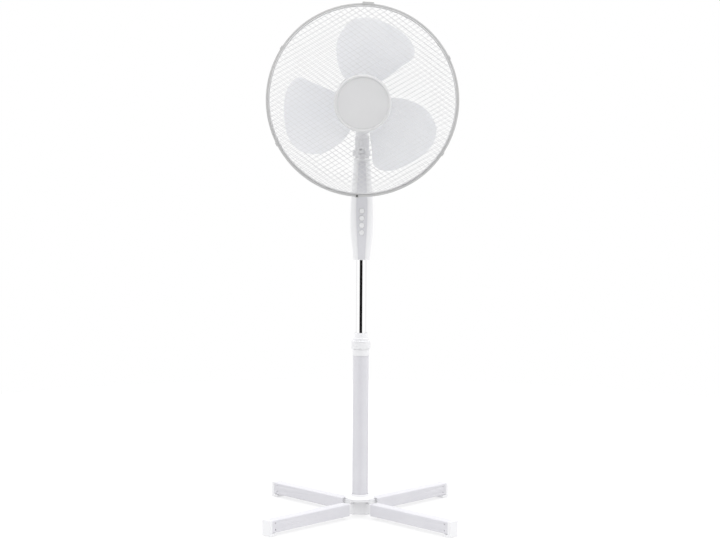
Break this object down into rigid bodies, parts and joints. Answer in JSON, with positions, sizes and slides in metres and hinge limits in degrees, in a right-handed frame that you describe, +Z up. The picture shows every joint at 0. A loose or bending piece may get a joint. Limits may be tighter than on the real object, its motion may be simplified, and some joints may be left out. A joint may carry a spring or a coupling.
{
  "type": "pedestal fan",
  "caption": "Free-standing fan on a cross base and telescopic pole, with a mesh guard, three broad blades, push buttons, tilt and side-to-side swing.",
  "frame": {"origin": "on the floor, on the axis of the pole", "axes": "+Z up along the pole, the fan blows towards -Y, +X to the right seen from the front"},
  "size_m": [0.4416, 0.4416, 1.2032],
  "materials": {
    "white_plastic": "satin moulded",
    "white_paint": "smooth powder coat",
    "grey_plastic": "satin moulded",
    "panel_plastic": "fine matt texture",
    "badge_plastic": "satin moulded",
    "blade_plastic": "smooth, slightly translucent",
    "chrome": "bright plated",
    "steel": "zinc plated",
    "lamination_steel": "stacked sheet",
    "copper": "enamelled wire",
    "bronze": "sintered",
    "cast_alloy": "die cast",
    "nylon": "moulded",
    "dark_plastic": "moulded",
    "guard_coating": "coated wire"
  },
  "bodies": {
    "stand": {"base_hub": "white_plastic", "leg_rear_right": "white_paint", "leg_rear_left": "white_paint", "leg_front_left": "white_paint", "leg_front_right": "white_paint", "foot_cap_rear_right": "white_plastic", "foot_cap_rear_left": "white_plastic", "foot_cap_front_left": "white_plastic", "foot_cap_front_right": "white_plastic", "leg_bolt_rear_right": "steel", "leg_bolt_rear_left": "steel", "leg_bolt_front_left": "steel", "leg_bolt_front_right": "steel", "base_bolt": "steel", "pole_collar": "white_plastic", "lower_pole": "white_paint", "pole_collet": "white_plastic"},
    "lock_nut": {"height_lock_nut": "white_plastic"},
    "mast": {"inner_tube": "chrome", "tube_socket": "white_plastic", "housing_front": "white_plastic", "housing_rear": "white_plastic", "control_panel": "panel_plastic", "cord_gland": "dark_plastic", "switch_block": "dark_plastic", "tilt_post": "white_plastic"},
    "off_button": {"button_off": "white_plastic"},
    "low_button": {"button_low": "white_plastic"},
    "medium_button": {"button_medium": "white_plastic"},
    "high_button": {"button_high": "white_plastic"},
    "neck": {"tilt_neck": "white_plastic", "tilt_bolt": "dark_plastic", "tilt_nut": "dark_plastic"},
    "head": {"motor_front_cover": "white_plastic", "motor_rear_cover": "white_plastic", "stator_core": "lamination_steel", "winding_front": "copper", "winding_rear": "copper", "motor_bracket": "cast_alloy", "gear_case": "cast_alloy", "gear_case_lid": "cast_alloy", "bush_front": "bronze", "bush_rear": "bronze", "swing_stem": "steel", "rear_guard": "guard_coating", "guard_nut": "white_plastic", "front_guard": "guard_coating", "guard_rim": "grey_plastic", "rim_screw": "dark_plastic", "top_clip": "grey_plastic", "badge": "badge_plastic"},
    "rotor": {"motor_shaft": "steel", "rotor_core": "lamination_steel", "fan_blade": "blade_plastic", "blade_nut": "white_plastic"},
    "wheel": {"worm_wheel": "nylon"},
    "clutch": {"clutch_shaft": "steel", "swing_knob": "white_plastic"},
    "crank": {"crank_gear": "nylon"},
    "link": {"swing_link": "steel"}
  },
  "joints": [
    {"name": "lock_nut_turn", "type": "hinge", "parent": "stand", "child": "lock_nut", "pos_m": [0, 0, 0.41], "axis": [0, 0, 1], "range_deg": [0, 270]},
    {"name": "mast_slide", "type": "slide", "parent": "stand", "child": "mast", "axis": [0, 0, 1], "range_m": [-0.165, 0.04]},
    {"name": "off_press", "type": "slide", "parent": "mast", "child": "off_button", "axis": [0, 1, 0], "range_m": [0, 0.0035], "stiffness_N_per_m": 600},
    {"name": "low_press", "type": "slide", "parent": "mast", "child": "low_button", "axis": [0, 1, 0], "range_m": [0, 0.0035], "stiffness_N_per_m": 600},
    {"name": "medium_press", "type": "slide", "parent": "mast", "child": "medium_button", "axis": [0, 1, 0], "range_m": [0, 0.0035], "stiffness_N_per_m": 600},
    {"name": "high_press", "type": "slide", "parent": "mast", "child": "high_button", "axis": [0, 1, 0], "range_m": [0, 0.0035], "stiffness_N_per_m": 600},
    {"name": "tilt", "type": "hinge", "parent": "mast", "child": "neck", "pos_m": [0, 0, 0.86], "axis": [1, 0, 0], "range_deg": [-30, 12]},
    {"name": "swing", "type": "hinge", "parent": "neck", "child": "head", "pos_m": [0, 0, 0.86], "axis": [0, -0.1132, 0.9936], "range_deg": [-40, 40]},
    {"name": "fan_spin", "type": "hinge", "parent": "head", "child": "rotor", "pos_m": [0, -0.0146, 0.98817], "axis": [0, 0.9936, 0.1132], "continuous": true},
    {"name": "worm_wheel_spin", "type": "hinge", "parent": "head", "child": "wheel", "pos_m": [0.0155, 0.02514, 0.9927], "axis": [0, -0.1132, 0.9936], "continuous": true},
    {"name": "clutch_pull", "type": "slide", "parent": "wheel", "child": "clutch", "axis": [0, -0.1132, 0.9936], "range_m": [0, 0.008]},
    {"name": "crank_spin", "type": "hinge", "parent": "head", "child": "crank", "pos_m": [-0.0094, 0.02955, 0.95395], "axis": [0, -0.1132, 0.9936], "continuous": true},
    {"name": "link_turn", "type": "hinge", "parent": "neck", "child": "link", "pos_m": [0.021, -0.00906, 0.93949], "axis": [0, -0.1132, 0.9936], "range_deg": [-25, 25]}
  ],
  "couplings": [
    {"joint": "worm_wheel_spin", "follows": "fan_spin", "ratio": 0.033333},
    {"joint": "crank_spin", "follows": "fan_spin", "ratio": -0.0055556},
    {"joint": "link_turn", "follows": "swing", "ratio": 0.6}
  ]
}
